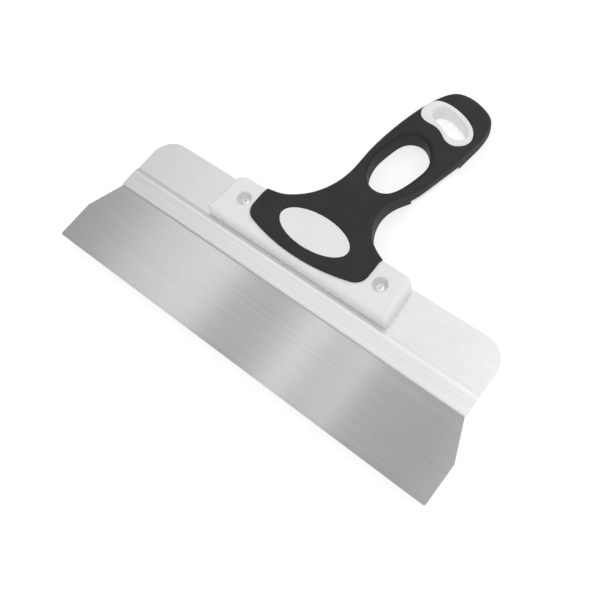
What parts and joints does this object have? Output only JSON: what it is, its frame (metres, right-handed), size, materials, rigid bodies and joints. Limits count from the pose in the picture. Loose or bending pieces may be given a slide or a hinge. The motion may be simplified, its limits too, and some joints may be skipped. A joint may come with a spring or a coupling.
{
  "type": "flexible putty knife",
  "caption": "Wide flexible steel blade held in an aluminium back profile, with a soft-gripped plastic handle that has a finger hole and a bean-shaped hang hole.",
  "frame": {"origin": "on the surface the knife lies on, under the middle of its box", "axes": "+X along the working edge, towards the side the grip leans to; +Y from the working edge to the end of the handle; +Z out of the front face"},
  "size_m": [0.35, 0.2758, 0.0246],
  "materials": {
    "blade_steel": "brushed along the working edge",
    "profile_aluminium": "satin, with fine extrusion lines",
    "core_plastic": "white moulded plastic, satin",
    "grip_rubber": "black soft-touch overmould, matte",
    "rivet_aluminium": "drawn, satin",
    "mandrel_steel": "bright steel, broken end",
    "washer_steel": "zinc plated"
  },
  "bodies": {
    "root": {"blade": "blade_steel", "back_profile": "profile_aluminium", "handle_core": "core_plastic", "soft_grip": "grip_rubber", "rivet_body_left": "rivet_aluminium", "rivet_body_right": "rivet_aluminium", "rivet_mandrel_left": "mandrel_steel", "rivet_mandrel_right": "mandrel_steel", "rivet_washer_left": "washer_steel", "rivet_washer_right": "washer_steel"}
  },
  "joints": []
}
